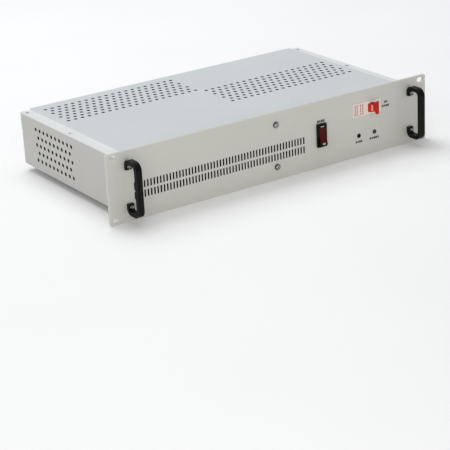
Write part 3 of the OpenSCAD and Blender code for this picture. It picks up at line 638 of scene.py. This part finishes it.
def bar(u, v, width, height, corner=0.3, steps=3):
    """Outline of a bar centred on (u, v), with corners of that radius in millimetres."""
    corner = min(corner * MM, width / 2, height / 2)
    points = []
    for k, (side, end) in enumerate(((1, 1), (-1, 1), (-1, -1), (1, -1))):
        middle = (u + side * (width / 2 - corner), v + end * (height / 2 - corner))
        for step in range(steps + 1):
            turn = math.radians(90 * (k + step / steps))
            points.append((middle[0] + corner * math.cos(turn), middle[1] + corner * math.sin(turn)))
    return points


def ring(u, v, width, height, stroke, steps=40):
    """Outer and inner outline of an oval ring, centred on (u, v)."""
    turns = [2 * math.pi * k / steps for k in range(steps)]
    return [
        [(u + (width / 2 - inset) * math.cos(t), v + (height / 2 - inset) * math.sin(t)) for t in turns]
        for inset in (0, stroke)
    ]


def ring_bar(u, v, width, height, stroke):
    """Outer and inner outline of a rectangular frame."""
    return [bar(u, v, width - 2 * inset, height - 2 * inset, 0.5) for inset in (0, stroke)]


def words(u, v, width, height, count):
    """Plain blocks in a row, where the object has lettering, centred on (u, v)."""
    pitch = width / count
    return [
        bar(u - width / 2 + (k + 0.5) * pitch, v, pitch * (0.86 - 0.26 * (k % 3 == 1)), height)
        for k in range(count)
    ]


def join_loops(shapes, low, high):
    """A closed band of faces between two loops of as many corners."""
    count = len(low)
    for k in range(count):
        shapes.faces.new((low[k], low[(k + 1) % count], high[(k + 1) % count], high[k]))


def keep_print(name, finish, shapes, body):
    """Makes a print of the shapes drawn so far, which moves with that body."""
    bmesh.ops.recalc_face_normals(shapes, faces=shapes.faces)
    mesh = bpy.data.meshes.new(name)
    shapes.to_mesh(mesh)
    shapes.free()
    piece = link(name, mesh)
    paint(piece, finish)
    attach(piece, body)


def printed(name, finish, face, bars=(), rings=(), body="case"):
    """Thin raised ink or film on a face: filled outlines and rings."""
    shapes = bmesh.new()

    def loop(outline, height):
        return [shapes.verts.new(face @ Vector((u, v, height))) for u, v in outline]

    for outline in bars:
        low, high = loop(outline, INK_ROOT), loop(outline, INK_THICKNESS)
        join_loops(shapes, low, high)
        shapes.faces.new(high)
        shapes.faces.new(low[::-1])
    for outer, inner in rings:
        corners = [
            loop(outer, INK_ROOT), loop(outer, INK_THICKNESS),
            loop(inner, INK_THICKNESS), loop(inner, INK_ROOT),
        ]
        for low, high in zip(corners, corners[1:] + corners[:1]):
            join_loops(shapes, low, high)
    keep_print(name, finish, shapes, body)


def front_prints():
    """Rows of blocks by the switch, the breaker and the indicators."""
    panel = front_face("front_panel")
    above_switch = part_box("switch_body")[1].z + 2.9 * MM
    row = words(middle_of("switch_body").x, above_switch, 12 * MM, 3 * MM, 4)
    printed("switch_legend", INK_DARK, panel, row)

    beside_lever = middle_of("breaker_toggle").x + 22.6 * MM
    breaker_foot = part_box("breaker_body")[0].z
    upper = words(beside_lever + 0.6 * MM, breaker_foot + 11 * MM, 6 * MM, TEXT_HEIGHT, 2)
    lower = words(beside_lever, breaker_foot + 5.8 * MM, 12 * MM, TEXT_HEIGHT, 4)
    printed("breaker_legend", INK_DARK, panel, upper + lower)

    led_low, led_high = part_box("led_holders")
    under_leds, inset = led_low.z - 5.2 * MM, 2.9 * MM
    left = words(led_low.x + inset, under_leds, 11 * MM, TEXT_HEIGHT, 4)
    right = words(led_high.x - inset, under_leds, 16 * MM, TEXT_HEIGHT, 5)
    printed("indicator_legends", INK_DARK, panel, left + right)


# Offset in millimetres from the film's middle, and number of marks, of each upright row
FILM_ROWS = ((-8.2, 5), (-5.4, 6), (-0.2, 5), (2.8, 6))
# Width of the breaker's shoulder, which the panel hides, left of its nose
BREAKER_SHOULDER = 17.5 * MM


def breaker_prints():
    """A pale film on the breaker's nose, with faint upright rows of marks and a border."""
    face = front_face("breaker_body")
    over = face @ Matrix.Translation((0, 0, INK_THICKNESS))
    v = middle_of("breaker_body").z
    nose_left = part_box("breaker_body")[0].x + BREAKER_SHOULDER
    width, height = 23.5 * MM, 15.6 * MM
    u = nose_left + width / 2 + 0.7 * MM
    printed("breaker_film", FILM_PINK, face, [bar(u, v, width, height, 0.6)])
    marks = []
    for column, (offset, count) in enumerate(FILM_ROWS):
        pitch = (height - 3 * MM) / count
        mark_width = (1.5 - 0.3 * (column % 2)) * MM
        for k in range(count):
            mark_v = v + (k - (count - 1) / 2) * pitch
            mark_height = pitch * (0.75 - 0.2 * ((k + column) % 2))
            marks.append(bar(u + offset * MM, mark_v, mark_width, mark_height, 0.2))
    printed("breaker_film_print", INK_PINK, over, marks)
    border = ring_bar(u - 3.2 * MM, v, 15 * MM, height - 1.4 * MM, 0.35 * MM)
    printed("breaker_film_border", INK_PINK, over, rings=[border])


# Radius of the lever's round root, and the pale band on it, a painted highlight: its two edges
# as angles about the joint from straight ahead, its half height and its number of steps
LEVER_DRUM = 5.6 * MM
BAND_FROM, BAND_TO = math.radians(-36), math.radians(-14)
BAND_HALF_HEIGHT = 3.9 * MM
BAND_STEPS = 6


def draw_lever_highlight():
    """A pale upright band on the round root of the lever: a painted highlight."""
    at = joint_at("breaker_lever_swing")
    inner, outer = LEVER_DRUM + INK_ROOT, LEVER_DRUM + INK_THICKNESS
    section = (
        (inner, -BAND_HALF_HEIGHT), (outer, -BAND_HALF_HEIGHT),
        (outer, BAND_HALF_HEIGHT), (inner, BAND_HALF_HEIGHT),
    )
    shapes = bmesh.new()
    loops = []
    for step in range(BAND_STEPS + 1):
        turn = BAND_FROM + (BAND_TO - BAND_FROM) * step / BAND_STEPS
        out = Vector((math.sin(turn), -math.cos(turn), 0))
        loops.append([shapes.verts.new(at + out * radius + Vector((0, 0, z))) for radius, z in section])
    for low, high in zip(loops, loops[1:]):
        join_loops(shapes, low, high)
    shapes.faces.new(loops[0])
    shapes.faces.new(loops[-1][::-1])
    keep_print("lever_highlight_band", LEVER_HIGHLIGHT_INK, shapes, "breaker_lever")


# Angle of the rocker at rest, and in its own plane: the valley of its front and its two ends,
# forward of its joint and above or below it
ROCKER_REST = math.radians(-8)
ROCKER_VALLEY_Y = -3.9 * MM
ROCKER_END_Y, ROCKER_END_Z = -5.75 * MM, 12.9 * MM
# Distance of the marks from the valley, along the face
ROCKER_MARK_AT = 11.3 * MM


def rocker_prints():
    """The on and off marks on the black ends of the rocker."""
    turned = Matrix.Translation(joint_at("rocker_tilt")) @ Matrix.Rotation(ROCKER_REST, 4, "X")
    on_bar = bar(0, ROCKER_MARK_AT, 5.2 * MM, 0.75 * MM)
    off_ring = ring(0, -ROCKER_MARK_AT, 4.6 * MM, 2.3 * MM, 0.55 * MM)
    for end, name, bars, rings in (
        (1, "rocker_on_mark", [on_bar], []),
        (-1, "rocker_off_mark", [], [off_ring]),
    ):
        along = Vector((0, end * (ROCKER_END_Y - ROCKER_VALLEY_Y), ROCKER_END_Z)).normalized()
        out = Vector((1, 0, 0)).cross(along)
        face = turned @ place((0, ROCKER_VALLEY_Y, 0), (1, 0, 0), along, out)
        printed(name, INK_WHITE, face, bars, rings, "rocker")


def rear_prints():
    """Rows of blocks by the connectors, and the earth symbol."""
    panel = rear_face("rear_panel")
    block_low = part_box("terminal_base")[0]
    above_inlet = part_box("inlet_body")[1].z + 3.3 * MM
    above_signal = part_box("dsub_shell")[1].z + 4.2 * MM
    under_block = block_low.z - 15.2 * MM
    rows = words(-middle_of("inlet_body").x, above_inlet, 24 * MM, TEXT_HEIGHT, 8)
    rows += words(-block_low.x - 52.5 * MM, under_block, 18 * MM, TEXT_HEIGHT, 6)
    rows += words(-block_low.x - 31 * MM, under_block, 7 * MM, TEXT_HEIGHT, 2)
    rows += words(-middle_of("dsub_shell").x, above_signal, 11 * MM, 2.2 * MM, 4)
    printed("rear_legends", INK_DARK, panel, rows)

    stud = middle_of("earth_stud")
    u, v = -(stud.x + 10.8 * MM), stud.z
    diameter, stroke = 10.4 * MM, 0.8 * MM
    strokes = [bar(u, v + 1.8 * MM, stroke, 3.6 * MM, 0.1)]
    strokes += [bar(u, v - k * 1.5 * MM, (6 - 2 * k) * MM, stroke, 0.1) for k in range(3)]
    circle = ring(u, v, diameter, diameter, 0.9 * MM)
    printed("earth_symbol", INK_DARK, panel, strokes, [circle])


def label_prints():
    """Plain lines on the rating label, which has lettering on the object."""
    low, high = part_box("rating_label")
    line_count, line_height, edge = 7, 1.1 * MM, 1.5 * MM
    pitch = (high.z - low.z - 2 * edge) / line_count
    full_width = high.x - low.x - 5 * MM
    rows = []
    for k in range(line_count):
        v = high.z - edge - (k + 0.5) * pitch
        width = full_width * (1 - 0.34 * (k % 3 == 1) - 0.16 * (k % 2))
        rows += words(-middle_of("rating_label").x, v, width, line_height, 9 - 2 * (k % 3))
    printed("label_lines", INK_BLUE, rear_face("rating_label"), rows)


def make_prints():
    front_prints()
    breaker_prints()
    draw_lever_highlight()
    rocker_prints()
    rear_prints()
    label_prints()


# ---------- floor ----------

def make_floor():
    """A wide sheet of white paper at the level of the panel's lower edge."""
    mesh = bpy.data.meshes.new("floor")
    reach = 12
    corners = [(x * reach, y * reach, CAD_BOX[0].z) for x, y in ((-1, -1), (1, -1), (1, 1), (-1, 1))]
    mesh.from_pydata(corners, [], [(0, 1, 2, 3)])
    floor = link("floor", mesh)
    surface = Finish("floor_paper")
    grain = surface.ranged(surface.noise(3, 2), 0.0, 1.0)
    surface.drive(
        Base_Color=surface.blend(grain, (0.95, 0.95, 0.95), (0.97, 0.97, 0.97)),
        Roughness=surface.ranged(surface.noise(8, 2), 0.7, 0.85),
    )
    paint(floor, surface)


make_camera()
make_lights()
finish_cad_nodes()
make_prints()
make_floor()
